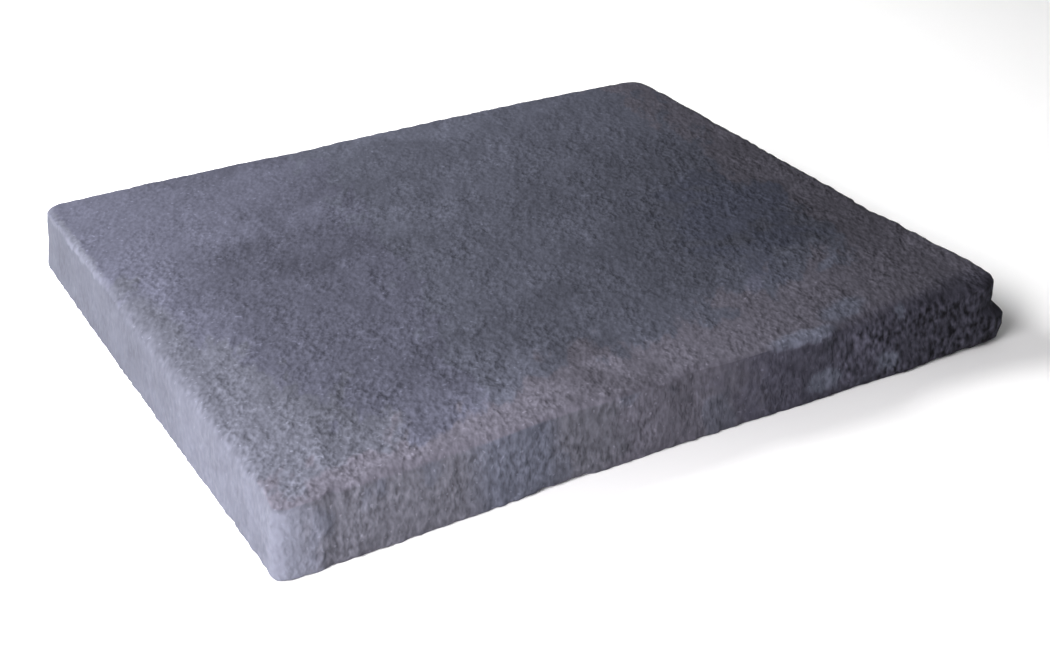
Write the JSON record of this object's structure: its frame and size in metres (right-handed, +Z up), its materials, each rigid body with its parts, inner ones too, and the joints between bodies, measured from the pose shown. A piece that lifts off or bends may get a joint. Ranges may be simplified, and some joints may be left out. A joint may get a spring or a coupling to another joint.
{
  "type": "massage stone",
  "caption": "Flat, nearly rectangular slab of dark granular basalt with dressed, slightly sloping sides and worn arrises, for resting warm or cold on the body.",
  "frame": {"origin": "middle of the underside's bounding box, on the surface that the stone lies on", "axes": "+X along the long side, +Y from the front side to the back side, +Z up out of the top face"},
  "size_m": [0.18, 0.154, 0.0155],
  "materials": {
    "basalt": "dry, rough, finely pitted basalt with paler dusty arrises"
  },
  "bodies": {
    "root": {"basalt_slab": "basalt"}
  },
  "joints": []
}
